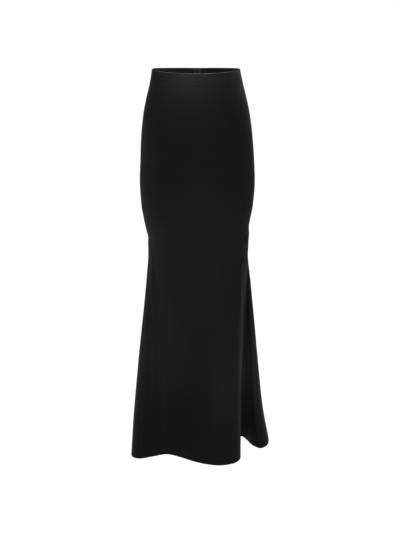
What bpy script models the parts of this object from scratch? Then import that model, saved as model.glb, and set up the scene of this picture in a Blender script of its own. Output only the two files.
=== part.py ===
"""Mermaid fishtail skirt in heavy black crepe, hollow as it is worn.

The cloth follows one smooth skin: oval body sections from the waist to the knee, then
a flare that opens into folds at the hem. The skin is cut at the side seams and at the
centre back into three panels. A doubled waistband finishes the top, and a concealed zip
with a hanging pull tab closes the centre back.

Metres, +Z up. The wearer faces -Y, and left and right are the wearer's, so left is +X.
The origin is the middle of the waist opening.
"""

from collections import namedtuple
import math

import bmesh
import bpy
from mathutils import Matrix, Vector
import numpy as np

# ---- the cloth and how it is cut
SKIRT_LENGTH = 1.131
WAISTBAND_HEIGHT = 0.025
FLARE_START = 0.530         # level at which the flare leaves the body
FLARE_OPENED = 0.620        # level at which every fold has opened by OPENED_SHARE
OPENED_SHARE = 0.12
HALF_WAY = 0.840            # level at which a fold's half_way share is reached
LOW_DOWN = 1.020            # level at which a fold's low_down share is reached
HEM_TURN = 0.030            # height of the cloth turned up inside the hem
CREPE = 0.0015              # wall of one layer
HEM_CREPE = 0.0026          # wall where the hem is turned up
BAND_CREPE = 0.0024         # wall of the doubled waistband
SEAM_GAP = 0.0003           # between neighbouring pieces
WAIST_DIP = 0.003           # the waist edge is this much lower at the front and back
DIP_FADE = 0.100            # depth at which the dip has faded out
SECTION_POWER = 2.15        # 2 is an ellipse, more is squarer
COLUMN_SPACING = 0.026      # between columns of points along the hem

# ---- the concealed zip
ZIP_GAP = 0.0014            # between the waistband's ends, where the slider passes
ZIP_LENGTH = 0.215
ZIP_TOP = 0.004             # below the waist edge
TAPE_WIDTH = 0.012
TAPE_THICKNESS = 0.0010
TAPE_STEP = 0.006           # length over which a tape steps from the band's wall to the panel's
SLIDER_DEPTH = 0.013        # centre of the slider below the waist edge

Section = namedtuple("Section", "depth half_width front back shift")
BODY_SECTIONS = [Section(*row) for row in (
    # depth, half width, reach to the front, reach to the back, sideways shift
    (0.000, 0.1260, 0.085, 0.095, -0.0037),
    (0.040, 0.1338, 0.093, 0.103, -0.0026),
    (0.085, 0.1453, 0.100, 0.114, -0.0024),
    (0.130, 0.1543, 0.104, 0.124, -0.0020),
    (0.200, 0.1622, 0.106, 0.133, -0.0011),
    (0.270, 0.1662, 0.104, 0.130, 0.0000),
    (0.320, 0.1682, 0.103, 0.122, 0.0000),
    (0.390, 0.1642, 0.100, 0.110, -0.0004),
    (0.440, 0.1557, 0.099, 0.104, -0.0009),
    (0.465, 0.1517, 0.098, 0.102, 0.0004),
    (0.490, 0.1493, 0.098, 0.101, 0.0032),
    (0.540, 0.1478, 0.097, 0.100, 0.0022),
)]

Fold = namedtuple("Fold", "name knee_angle hem_x hem_y half_way low_down")
FOLDS = [Fold(*row) for row in (
    # name, angle at the knee (degrees from the front, + to the left), place at the hem,
    # shares of the flare reached half way and low down
    ("right side seam", -97, -0.1930, -0.0450, 0.54, 0.84),
    ("right lobe outside", -91, -0.1985, -0.0930, 0.55, 0.86),
    ("right lobe corner", -87, -0.1932, -0.1392, 0.55, 0.86),
    ("right lobe crest", -82, -0.1710, -0.1508, 0.54, 0.84),
    ("right lobe inside", -74, -0.1345, -0.1360, 0.50, 0.81),
    ("right valley", -62, -0.0910, -0.1190, 0.50, 0.81),
    ("front rise", -42, -0.0545, -0.1380, 0.50, 0.81),
    ("front slope", -20, -0.0130, -0.1700, 0.50, 0.81),
    ("front middle", 5, 0.0240, -0.1910, 0.50, 0.81),
    ("front crest", 27, 0.0640, -0.2010, 0.50, 0.81),
    ("front shoulder", 44, 0.1030, -0.1890, 0.50, 0.81),
    ("front edge", 58, 0.1240, -0.1635, 0.50, 0.81),
    ("front turn", 66, 0.1294, -0.1320, 0.50, 0.80),
    ("left return", 74, 0.1240, -0.0700, 0.50, 0.80),
    ("left return end", 80, 0.1270, -0.0030, 0.50, 0.78),
    ("left valley", 85, 0.1370, 0.0210, 0.48, 0.76),
    ("left lobe inside", 87.5, 0.1500, -0.0030, 0.46, 0.74),
    ("left lobe front", 90, 0.1700, -0.0540, 0.45, 0.73),
    ("left lobe crest", 92.5, 0.1910, -0.0730, 0.45, 0.72),
    ("left lobe corner", 95, 0.2130, -0.0480, 0.45, 0.72),
    ("left lobe outside", 97.5, 0.2200, 0.0020, 0.45, 0.72),
    ("left side seam", 100, 0.2160, 0.0400, 0.45, 0.72),
    ("left back hollow", 109, 0.1780, 0.0900, 0.48, 0.76),
    ("left train side", 119, 0.1790, 0.1480, 0.50, 0.78),
    ("left train fold", 128, 0.1570, 0.1920, 0.50, 0.78),
    ("left train back", 138, 0.1230, 0.1960, 0.50, 0.78),
    ("left train valley", 151, 0.0860, 0.1750, 0.50, 0.78),
    ("centre fold left", 166, 0.0480, 0.2160, 0.50, 0.78),
    ("centre back", 180, 0.0080, 0.2420, 0.50, 0.78),
    ("centre fold right", 194, -0.0330, 0.2180, 0.50, 0.78),
    ("right train valley", 209, -0.0710, 0.1780, 0.50, 0.78),
    ("right train back", 222, -0.1090, 0.1960, 0.50, 0.78),
    ("right train fold", 232, -0.1450, 0.1910, 0.50, 0.78),
    ("right train side", 241, -0.1660, 0.1480, 0.50, 0.78),
    ("right back hollow", 251, -0.1640, 0.0700, 0.50, 0.80),
)]

# levels of the rows of points, closer where the outline turns and at the hem
BAND_ROWS = (0.0, 0.006, 0.018, WAISTBAND_HEIGHT)
BODY_ROWS = (0.045, 0.070, 0.100, 0.135, 0.175, 0.220, 0.270, 0.320, 0.365, 0.405, 0.440)
FLARE_ROWS = (0.465, 0.490, 0.515, 0.545, 0.580, 0.620, 0.665, 0.715, 0.770, 0.830, 0.890,
              0.950, 1.005, 1.050, 1.080, 1.099, 1.103, 1.118, SKIRT_LENGTH)


def smooth_between(x_rows, y_rows, x):
    """Values at x of a curve through the rows that never swings past them."""
    x_rows, y_rows, x = (np.asarray(v, dtype=float) for v in (x_rows, y_rows, x))
    gaps = np.diff(x_rows)
    slopes = np.diff(y_rows) / gaps
    before, after = slopes[:-1], slopes[1:]
    turning = before * after <= 0
    total = np.where(turning, 1.0, before + after)
    tangents = np.zeros(len(x_rows))
    tangents[1:-1] = np.where(turning, 0.0, 2 * before * after / total)
    tangents[0], tangents[-1] = slopes[0], slopes[-1]
    x = np.clip(x, x_rows[0], x_rows[-1])
    i = np.clip(np.searchsorted(x_rows, x) - 1, 0, len(gaps) - 1)
    t = (x - x_rows[i]) / gaps[i]
    return ((1 + 2 * t) * (1 - t) ** 2 * y_rows[i] + t * (1 - t) ** 2 * gaps[i] * tangents[i]
            + t * t * (3 - 2 * t) * y_rows[i + 1] + t * t * (t - 1) * gaps[i] * tangents[i + 1])


def round_curve(knots, values, turn, at):
    """Values at the given knots of a curve that closes on itself, plus turn each time round.

    knots has one more entry than values: the last is where the first comes round again.
    """
    length = knots[-1]
    long_knots = np.concatenate([knots[:-1] + lap * length for lap in (-1, 0, 1)])
    long_values = np.concatenate([values + lap * turn for lap in (-1, 0, 1)])
    return smooth_between(long_knots, long_values, at)


def hem_curve(knots, points, at):
    """The closed hem line through the folds' places, seen from above."""
    gaps = np.diff(knots)
    ahead = (np.roll(points, -1, axis=0) - points) / gaps[:, None]
    behind, gap_behind = np.roll(ahead, 1, axis=0), np.roll(gaps, 1)[:, None]
    tangents = (behind * gaps[:, None] + ahead * gap_behind) / (gaps[:, None] + gap_behind)
    i = np.clip(np.searchsorted(knots, at, side="right") - 1, 0, len(gaps) - 1)
    j = (i + 1) % len(gaps)
    t = ((at - knots[i]) / gaps[i])[:, None]
    h = gaps[i][:, None]
    return ((1 + 2 * t) * (1 - t) ** 2 * points[i] + t * (1 - t) ** 2 * h * tangents[i]
            + t * t * (3 - 2 * t) * points[j] + t * t * (t - 1) * h * tangents[j])


class Skin:
    """The outer face of the cloth: columns of points that run from the waist to the hem."""

    def __init__(self):
        hem = np.array([(fold.hem_x, fold.hem_y) for fold in FOLDS])
        chords = np.linalg.norm(np.roll(hem, -1, axis=0) - hem, axis=1)
        knots = np.concatenate([[0.0], np.cumsum(np.sqrt(chords))])
        steps = np.maximum(2, np.round(chords / COLUMN_SPACING)).astype(int)
        at = np.concatenate([np.linspace(knots[i], knots[i + 1], count, endpoint=False)
                             for i, count in enumerate(steps)])
        first_columns = np.concatenate([[0], np.cumsum(steps)[:-1]])
        self.column_of = {fold.name: int(c) for fold, c in zip(FOLDS, first_columns)}
        self.count = len(at)
        angles = np.radians([fold.knee_angle for fold in FOLDS])
        self.angle = round_curve(knots, angles, 2 * math.pi, at)
        self.shares = np.column_stack([
            round_curve(knots, np.array([getattr(fold, column) for fold in FOLDS]), 0.0, at)
            for column in ("half_way", "low_down")])
        self.hem = hem_curve(knots, hem, at)

    def level(self, depth):
        """One closed row of points at a depth below the waist edge."""
        table = [row.depth for row in BODY_SECTIONS]
        half_width, front, back, shift = (
            smooth_between(table, [getattr(row, column) for row in BODY_SECTIONS], depth)
            for column in ("half_width", "front", "back", "shift"))
        sine, cosine = np.sin(self.angle), np.cos(self.angle)
        reach = np.where(cosine > 0, front, back)
        radius = ((np.abs(sine) / half_width) ** SECTION_POWER
                  + (np.abs(cosine) / reach) ** SECTION_POWER) ** (-1 / SECTION_POWER)
        body = np.stack([shift + radius * sine, -radius * cosine], axis=1)
        levels = (0, FLARE_START, FLARE_OPENED, HALF_WAY, LOW_DOWN, SKIRT_LENGTH)
        flare = np.array([smooth_between(levels, (0, 0, OPENED_SHARE, half_way, low_down, 1), depth)
                          for half_way, low_down in self.shares])
        plan = body + (self.hem - body) * flare[:, None]
        dip = WAIST_DIP * cosine ** 2 * max(0.0, 1 - depth / DIP_FADE)
        return np.column_stack([plan, -depth - dip])

    def faces_at(self, depths, walls):
        """Outer and inner points of the cloth, row by row, for a wall given for each row."""
        outer = np.array([self.level(depth) for depth in depths])
        ahead = np.roll(outer, -1, axis=1) - outer
        behind = outer - np.roll(outer, 1, axis=1)
        along = unit(unit(ahead) + unit(behind))
        upward = -np.gradient(outer, np.asarray(depths, dtype=float), axis=0)
        outward = unit(np.cross(along, upward))
        return outer, outer - outward * np.asarray(walls)[:, None, None]


def unit(vectors):
    return vectors / np.linalg.norm(vectors, axis=-1, keepdims=True)


def columns_between(skin, first, last):
    """Column numbers from one fold round to another, both included."""
    start, end = skin.column_of[first], skin.column_of[last]
    if end <= start:
        end += skin.count
    return np.arange(start, end + 1) % skin.count


def draw_in_edges(points, gap):
    """Pull the first and last columns of a piece back from its seams by half a gap each."""
    for edge, neighbour in ((0, 1), (-1, -2)):
        points[:, edge] += unit(points[:, neighbour] - points[:, edge]) * gap / 2


def cloth_piece(name, outer, inner, material, collection):
    """A closed wall of cloth between two grids of points (rows, columns, xyz)."""
    rows, columns = outer.shape[:2]
    mesh = bmesh.new()
    grids = [[[mesh.verts.new(point) for point in row] for row in grid] for grid in (outer, inner)]
    for row in range(rows - 1):
        for column in range(columns - 1):
            corners = ((row, column), (row + 1, column), (row + 1, column + 1), (row, column + 1))
            mesh.faces.new([grids[0][r][c] for r, c in corners])
            mesh.faces.new([grids[1][r][c] for r, c in reversed(corners)])
    rim = ([(0, c) for c in range(columns)] + [(r, columns - 1) for r in range(1, rows)]
           + [(rows - 1, c) for c in range(columns - 2, -1, -1)]
           + [(r, 0) for r in range(rows - 2, 0, -1)])
    for (r, c), (next_r, next_c) in zip(rim, rim[1:] + rim[:1]):
        mesh.faces.new([grids[0][r][c], grids[0][next_r][next_c],
                        grids[1][next_r][next_c], grids[1][r][c]])
    return finished(name, mesh, material, collection)


def finished(name, mesh, material, collection):
    """An object from a bmesh, with its material, in its collection."""
    data = bpy.data.meshes.new(name)
    mesh.to_mesh(data)
    mesh.free()
    data.materials.append(material)
    data.shade_smooth()
    piece = bpy.data.objects.new(name, data)
    collection.objects.link(piece)
    return piece


def finish(name, colour, roughness, metallic=0.0):
    material = bpy.data.materials.new(name)
    material.use_nodes = True
    shader = material.node_tree.nodes["Principled BSDF"]
    shader.inputs["Base Color"].default_value = (*colour, 1.0)
    shader.inputs["Roughness"].default_value = roughness
    shader.inputs["Metallic"].default_value = metallic
    return material


def make_panels(skin, crepe, collection):
    """Front and two back panels, from under the waistband to the hem."""
    turn_top = SKIRT_LENGTH - HEM_TURN
    depths = np.array([WAISTBAND_HEIGHT + SEAM_GAP, *BODY_ROWS, *FLARE_ROWS])
    walls = np.where(depths > turn_top, HEM_CREPE, CREPE)
    outer, inner = skin.faces_at(depths, walls)
    for name, first, last in (("front_panel", "right side seam", "left side seam"),
                              ("back_left_panel", "left side seam", "centre back"),
                              ("back_right_panel", "centre back", "right side seam")):
        columns = columns_between(skin, first, last)
        faces = [grid[:, columns].copy() for grid in (outer, inner)]
        for face in faces:
            draw_in_edges(face, SEAM_GAP)
        cloth_piece(name, *faces, crepe, collection)


def make_waistband(skin, crepe, collection):
    """One doubled strip round the waist, its ends apart at the zip."""
    outer, inner = skin.faces_at(BAND_ROWS, np.full(len(BAND_ROWS), BAND_CREPE))
    columns = columns_between(skin, "centre back", "centre back")
    faces = [grid[:, columns].copy() for grid in (outer, inner)]
    for face in faces:
        draw_in_edges(face, ZIP_GAP)
    cloth_piece("waistband", *faces, crepe, collection)


def make_zip_tapes(skin, tape, collection):
    """Two tapes behind the centre-back edges, 0.3 mm inside the band and the panels."""
    band_end, zip_end = WAISTBAND_HEIGHT + SEAM_GAP, ZIP_TOP + ZIP_LENGTH
    levels = (ZIP_TOP, *BAND_ROWS, band_end, band_end + TAPE_STEP, *BODY_ROWS, zip_end)
    depths = np.array([level for level in sorted(levels) if ZIP_TOP <= level <= zip_end])
    walls = np.where(depths <= band_end, BAND_CREPE, CREPE)
    seat = skin.faces_at(depths, walls + SEAM_GAP)[1]
    inside = skin.faces_at(depths, walls + SEAM_GAP + TAPE_THICKNESS)[1]
    back = skin.column_of["centre back"]
    for name, neighbour in (("zip_tape_left", back - 1), ("zip_tape_right", back + 1)):
        faces = []
        for grid in (seat, inside):
            sideways = unit(grid[:, neighbour] - grid[:, back])
            near = grid[:, back] + sideways * ZIP_GAP / 2
            far = near + sideways * TAPE_WIDTH
            order = (far, near) if neighbour < back else (near, far)
            faces.append(np.stack(order, axis=1))
        cloth_piece(name, *faces, tape, collection)


# sizes of the slider and pull: X across, Y out from the cloth, Z up along it
SLIDER_BODY = (0.0072, 0.0016, 0.0090)      # behind the tapes
SLIDER_NECK = (0.0008, 0.0030)              # width and height, between the tapes
BRIDGE = (0.0028, 0.0026, 0.0048)           # on the outside, carries the pull
BRIDGE_HOLE = (0.0018, 0.0020)              # depth and height
BRIDGE_FOOT = 0.0005                        # metal under the hole
PULL_THICKNESS = 0.0012
PULL_LENGTH = 0.0200
PULL_TOP_WIDTH = 0.0052
PULL_END_RADIUS = 0.0033
PULL_END_STEPS = 12
PULL_EYE = (0.0034, 0.0028)                 # width and height of the opening round the bridge
PULL_EDGE = 0.0003                          # rounding of its edges


def slider_seat(skin):
    """Place of the slider on the band's outer face, and the slope of the cloth there."""
    back = skin.column_of["centre back"]
    above, seat, below = (skin.level(SLIDER_DEPTH + step)[back] for step in (-0.002, 0, 0.002))
    rise = above - below
    return seat, math.atan2(-rise[1], rise[2])


def move_to(collection, piece):
    for home in piece.users_collection:
        home.objects.unlink(piece)
    collection.objects.link(piece)


def hidden_tool(tool, tools):
    """Keep a shape only as a tool for a Boolean."""
    move_to(tools, tool)
    tool.hide_render = True
    tool.display_type = "WIRE"
    return tool


def block(name, size, centre):
    bpy.ops.mesh.primitive_cube_add(size=1)
    cube = bpy.context.object
    cube.name = name
    cube.data.transform(placed(centre, size))
    return cube


def placed(centre, size=(1, 1, 1)):
    return Matrix.LocRotScale(Vector(centre), None, Vector(size))


def cut(piece, tool, operation):
    step = piece.modifiers.new(tool.name, "BOOLEAN")
    step.operation = operation
    step.object = tool


def make_zip_slider(seat, slope, metal, collection, tools):
    """Body behind the tapes, neck between them and bridge outside, in one casting."""
    behind_tapes = -(BAND_CREPE + SEAM_GAP + TAPE_THICKNESS + SEAM_GAP)
    bridge_middle = SEAM_GAP + BRIDGE[1] / 2
    body_middle = behind_tapes - SLIDER_BODY[1] / 2
    slider = block("zip_slider", SLIDER_BODY, (0, body_middle, 0))
    neck_size = (SLIDER_NECK[0], bridge_middle - body_middle, SLIDER_NECK[1])
    neck_middle = (bridge_middle + body_middle) / 2
    hole_middle = SEAM_GAP + BRIDGE_FOOT + BRIDGE_HOLE[0] / 2
    shapes = (
        ("slider neck", neck_size, neck_middle, "UNION"),
        ("slider bridge", BRIDGE, bridge_middle, "UNION"),
        ("slider hole", (2 * BRIDGE[0], *BRIDGE_HOLE), hole_middle, "DIFFERENCE"),
    )
    for name, size, middle, operation in shapes:
        tool = hidden_tool(block(name, size, (0, middle, 0)), tools)
        tool.parent = slider
        cut(slider, tool, operation)
    slider.data.materials.append(metal)
    slider.location, slider.rotation_euler.x = seat, slope
    move_to(collection, slider)
    return hole_middle


def pull_outline():
    """Drop shape that widens to a round end, from the top left corner down and round."""
    end = -(PULL_LENGTH - PULL_END_RADIUS)
    turn = [math.pi * (1 + step / PULL_END_STEPS) for step in range(PULL_END_STEPS + 1)]
    top, half = PULL_THICKNESS / 2, PULL_TOP_WIDTH / 2
    corner = PULL_THICKNESS / 2
    return ([(-half + corner, top), (-half, top - corner)]
            + [(PULL_END_RADIUS * math.cos(a), end + PULL_END_RADIUS * math.sin(a)) for a in turn]
            + [(half, top - corner), (half - corner, top)])


def make_zip_pull(seat, slope, hole_middle, metal, collection):
    """Flat pull tab: its top bar runs through the bridge's hole, where it turns."""
    curve = bpy.data.curves.new("zip_pull", "CURVE")
    curve.dimensions = "2D"
    curve.fill_mode = "BOTH"
    curve.extrude = PULL_THICKNESS / 2 - PULL_EDGE
    curve.bevel_depth = PULL_EDGE
    curve.bevel_resolution = 1
    curve.offset = -PULL_EDGE
    bar, half_eye = PULL_THICKNESS / 2, PULL_EYE[0] / 2
    eye = [(-half_eye, -bar), (half_eye, -bar), (half_eye, -bar - PULL_EYE[1]),
           (-half_eye, -bar - PULL_EYE[1])]
    for outline in (pull_outline(), eye):
        spline = curve.splines.new("POLY")
        spline.points.add(len(outline) - 1)
        for point, (x, z) in zip(spline.points, outline):
            point.co = (x, z, 0, 1)
        spline.use_cyclic_u = True
    flat = bpy.data.objects.new("zip pull outline", curve)
    collection.objects.link(flat)
    stood_up = Matrix.Rotation(math.radians(90), 4, "X")
    shape = bpy.data.meshes.new_from_object(flat.evaluated_get(bpy.context.evaluated_depsgraph_get()))
    mesh = bmesh.new()
    mesh.from_mesh(shape)
    bmesh.ops.remove_doubles(mesh, verts=mesh.verts, dist=1e-6)
    bmesh.ops.transform(mesh, matrix=stood_up, verts=mesh.verts)
    bpy.data.objects.remove(flat)
    bpy.data.meshes.remove(shape)
    pull = finished("zip_pull", mesh, metal, collection)
    pull.rotation_euler.x = slope
    pull.location = Vector(seat) + Matrix.Rotation(slope, 3, "X") @ Vector((0, hole_middle, 0))


def main():
    for thing in list(bpy.data.objects):
        bpy.data.objects.remove(thing)
    collection = bpy.data.collections.new("mermaid fishtail skirt")
    tools = bpy.data.collections.new("zip cutters")
    for home in (collection, tools):
        bpy.context.scene.collection.children.link(home)
    crepe = finish("black crepe", (0.012, 0.012, 0.013), 0.8)
    tape = finish("black zip tape", (0.010, 0.010, 0.011), 0.7)
    metal = finish("black enamelled metal", (0.015, 0.015, 0.016), 0.35, 0.6)
    skin = Skin()
    make_panels(skin, crepe, collection)
    make_waistband(skin, crepe, collection)
    make_zip_tapes(skin, tape, collection)
    seat, slope = slider_seat(skin)
    hole_middle = make_zip_slider(seat, slope, metal, collection, tools)
    make_zip_pull(seat, slope, hole_middle, metal, collection)


main()
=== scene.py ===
from collections import namedtuple
import math
import bmesh
import bpy
from mathutils import Matrix, Vector
import numpy as np


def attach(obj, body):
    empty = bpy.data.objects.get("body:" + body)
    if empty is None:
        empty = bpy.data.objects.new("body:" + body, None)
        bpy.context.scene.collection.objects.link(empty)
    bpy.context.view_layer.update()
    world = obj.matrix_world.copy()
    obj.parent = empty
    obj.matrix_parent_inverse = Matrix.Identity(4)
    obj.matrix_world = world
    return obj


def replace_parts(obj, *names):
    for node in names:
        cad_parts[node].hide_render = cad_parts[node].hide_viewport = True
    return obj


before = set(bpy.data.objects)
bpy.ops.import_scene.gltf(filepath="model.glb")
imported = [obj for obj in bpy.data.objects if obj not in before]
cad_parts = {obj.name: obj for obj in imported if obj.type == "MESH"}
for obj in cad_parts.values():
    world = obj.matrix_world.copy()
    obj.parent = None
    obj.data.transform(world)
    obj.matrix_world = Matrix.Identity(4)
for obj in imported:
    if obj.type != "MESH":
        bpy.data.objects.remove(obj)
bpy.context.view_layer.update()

# ---- The view ----------------------------------------------------------------------------
# The skirt is seen from the front, a little above the waist, by a long lens that is tilted
# down until the hem comes into the frame. Lengths are metres; the wearer faces -Y.
FRAME_HEIGHT = 533              # pixels
FOCAL_LENGTH = 1214.7           # pixels
SENSOR = 36.0                   # millimetres, the long side
CAMERA_PLACE = (0.0078, -3.5, 0.3216)
CAMERA_TILT = 14.452            # degrees below the horizon

camera = bpy.data.objects.new("camera", bpy.data.cameras.new("camera"))
camera.data.sensor_width = SENSOR
camera.data.lens = FOCAL_LENGTH / FRAME_HEIGHT * SENSOR
camera.location = CAMERA_PLACE
camera.rotation_euler = (math.radians(90 - CAMERA_TILT), 0, 0)
bpy.context.scene.collection.objects.link(camera)
bpy.context.scene.camera = camera

# ---- Black crepe -------------------------------------------------------------------------
# Heavy polyester crepe. Its yarns are twisted hard, so the face is covered in fine pebbles
# that scatter the light: nearly matt, with a faint bloom where the cloth turns away.
# The pebble tops are painted lighter than their feet in the base colour, a painted highlight
# standing in for the light they catch. Faint clouds in the dye thin it out.
CREPE_BLACK = (0.0029, 0.0029, 0.0030)
CREPE_PEBBLE_HIGHLIGHT = (0.0059, 0.0058, 0.0060)   # pebble tops
PEBBLES_PER_METRE = 1300.0
PEBBLE_STRETCH = 0.6            # pebbles are longer down the cloth than across it
PEBBLE_FOOT = 0.38              # noise level at which a pebble begins to lighten
PEBBLE_TOP = 0.62               # and at which it is as light as it gets
PEBBLE_HEIGHT = 0.00022
CLOUDS_PER_METRE = 11.0         # faint clouds in the dye
CLOUD_SHADE = 0.75              # of the lightening is left in the darkest cloud


def node(tree, kind, inputs=(), **settings):
    """A node with its settings, its inputs given as values or as the sockets to link."""
    made = tree.nodes.new(kind)
    for name, value in settings.items():
        setattr(made, name, value)
    for name, value in dict(inputs).items():
        if isinstance(value, bpy.types.NodeSocket):
            tree.links.new(value, made.inputs[name])
        else:
            made.inputs[name].default_value = value
    return made


def new_finish(name, values):
    """A material, its nodes, and its shader with the values on the sockets they name."""
    material = bpy.data.materials.new(name)
    material.use_nodes = True
    shader = material.node_tree.nodes["Principled BSDF"]
    for socket, value in values.items():
        shader.inputs[socket].default_value = value
    return material, material.node_tree, shader


def between_blacks(tree, shader, share, dark, light):
    """Base colour that runs from the dark to the light by a share."""
    colour = node(tree, "ShaderNodeMix", {"Factor": share}, data_type="RGBA")
    colour.inputs["A"].default_value = (*dark, 1)
    colour.inputs["B"].default_value = (*light, 1)
    tree.links.new(colour.outputs["Result"], shader.inputs["Base Color"])


def raised_grain(tree, shader, level, strength, height):
    """Fine grain on the surface, which stands up to a height where the level is 1."""
    grain = node(tree, "ShaderNodeBump",
                 {"Height": level, "Strength": strength, "Distance": height})
    tree.links.new(grain.outputs["Normal"], shader.inputs["Normal"])


crepe, tree, shader = new_finish("black crepe", {
    "Roughness": 0.78, "Specular IOR Level": 0.06, "Sheen Weight": 0.012, "Sheen Roughness": 0.5})
on_cut = node(tree, "ShaderNodeUVMap", uv_map="cut")
stretched = node(tree, "ShaderNodeMapping",
                 {"Vector": on_cut.outputs["UV"], "Scale": (1.0, PEBBLE_STRETCH, 1.0)})
pebbles = node(tree, "ShaderNodeTexNoise",
               {"Vector": stretched.outputs["Vector"], "Scale": PEBBLES_PER_METRE,
                "Detail": 3.0, "Roughness": 0.65})
clouds = node(tree, "ShaderNodeTexNoise",
              {"Vector": on_cut.outputs["UV"], "Scale": CLOUDS_PER_METRE, "Detail": 2.0})
# Painted highlight: the higher a pebble stands, the lighter its base colour, scaled down in the
# darker clouds.
tops = node(tree, "ShaderNodeMapRange",
            {"Value": pebbles.outputs["Fac"], "From Min": PEBBLE_FOOT, "From Max": PEBBLE_TOP})
faded = node(tree, "ShaderNodeMapRange", {"Value": clouds.outputs["Fac"], "To Min": CLOUD_SHADE})
pebble_highlight_share = node(tree, "ShaderNodeMath",
             {0: tops.outputs["Result"], 1: faded.outputs["Result"]}, operation="MULTIPLY")
between_blacks(tree, shader, pebble_highlight_share.outputs[0], CREPE_BLACK, CREPE_PEBBLE_HIGHLIGHT)
raised_grain(tree, shader, pebbles.outputs["Fac"], strength=0.9, height=PEBBLE_HEIGHT)

# ---- Front panel -------------------------------------------------------------------------
# One wide piece of crepe with no seam down its middle. It is fitted to the knee, opens there
# into folds, and its lower edge is turned up once inside. The seams draw its edges inwards.
SKIRT_LENGTH = 1.131
WAISTBAND_HEIGHT = 0.025
FLARE_START = 0.530             # level at which the flare leaves the body
FLARE_OPENED = 0.620            # level at which every fold has opened by OPENED_SHARE
OPENED_SHARE = 0.12
HALF_WAY = 0.840                # level at which a fold's half_way share is reached
LOW_DOWN = 1.020                # level at which a fold's low_down share is reached
HEM_TURN = 0.030
CREPE_WALL = 0.0015
HEM_WALL = 0.0026               # where the hem is turned up
SEAM_GAP = 0.0003
WAIST_DIP = 0.003               # the waist edge is this much lower at the front and back
SIDE_LIFT = 0.0025              # and stands this much higher at the side seams
SIDE_LIFT_POWER = 8             # more keeps the lift nearer to the seams
DIP_FADE = 0.100                # depth at which both have died away
SECTION_POWER = 2.15            # 2 is an ellipse, more is squarer
COLUMN_SPACING = 0.0065         # between columns of points along the hem
ROW_SPACING = 0.0075
EDGE_STEPS = (0.0003, 0.0007, 0.0013, 0.0022)   # extra rows and columns where an edge rolls in
JOIN_GAP = 0.00002              # between edges that a seam pulls together
SEAM_ROLL = 0.0009              # radius of an edge that a seam draws in
FOLD_ROLL = 0.0011              # radius of a folded edge
GAP_FADE = 0.0120               # the seam's gap is made up over this distance
METRES_PER_DEGREE = 0.0027      # round the body, for the creases
CREASE_FADE_POWER = 0.8         # less holds a crease's height nearer to its ends
SLOPE_REACH = 1e-4              # the cloth's slope is read over this much, both ways

Section = namedtuple("Section", "depth half_width front back shift")
BODY_SECTIONS = [Section(*row) for row in (
    # depth, half width, reach to the front, reach to the back, sideways shift
    (0.000, 0.1260, 0.085, 0.095, -0.0037),
    (0.040, 0.1338, 0.093, 0.103, -0.0026),
    (0.085, 0.1453, 0.100, 0.114, -0.0024),
    (0.130, 0.1543, 0.104, 0.124, -0.0020),
    (0.200, 0.1622, 0.106, 0.133, -0.0011),
    (0.270, 0.1662, 0.104, 0.130, 0.0000),
    (0.320, 0.1682, 0.103, 0.122, 0.0000),
    (0.390, 0.1642, 0.100, 0.110, -0.0004),
    (0.440, 0.1557, 0.099, 0.104, -0.0009),
    (0.465, 0.1517, 0.098, 0.102, 0.0004),
    (0.490, 0.1493, 0.098, 0.101, 0.0032),
    (0.540, 0.1478, 0.097, 0.100, 0.0022),
)]
Fold = namedtuple("Fold", "name knee_angle hem_x hem_y half_way low_down")
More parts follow.
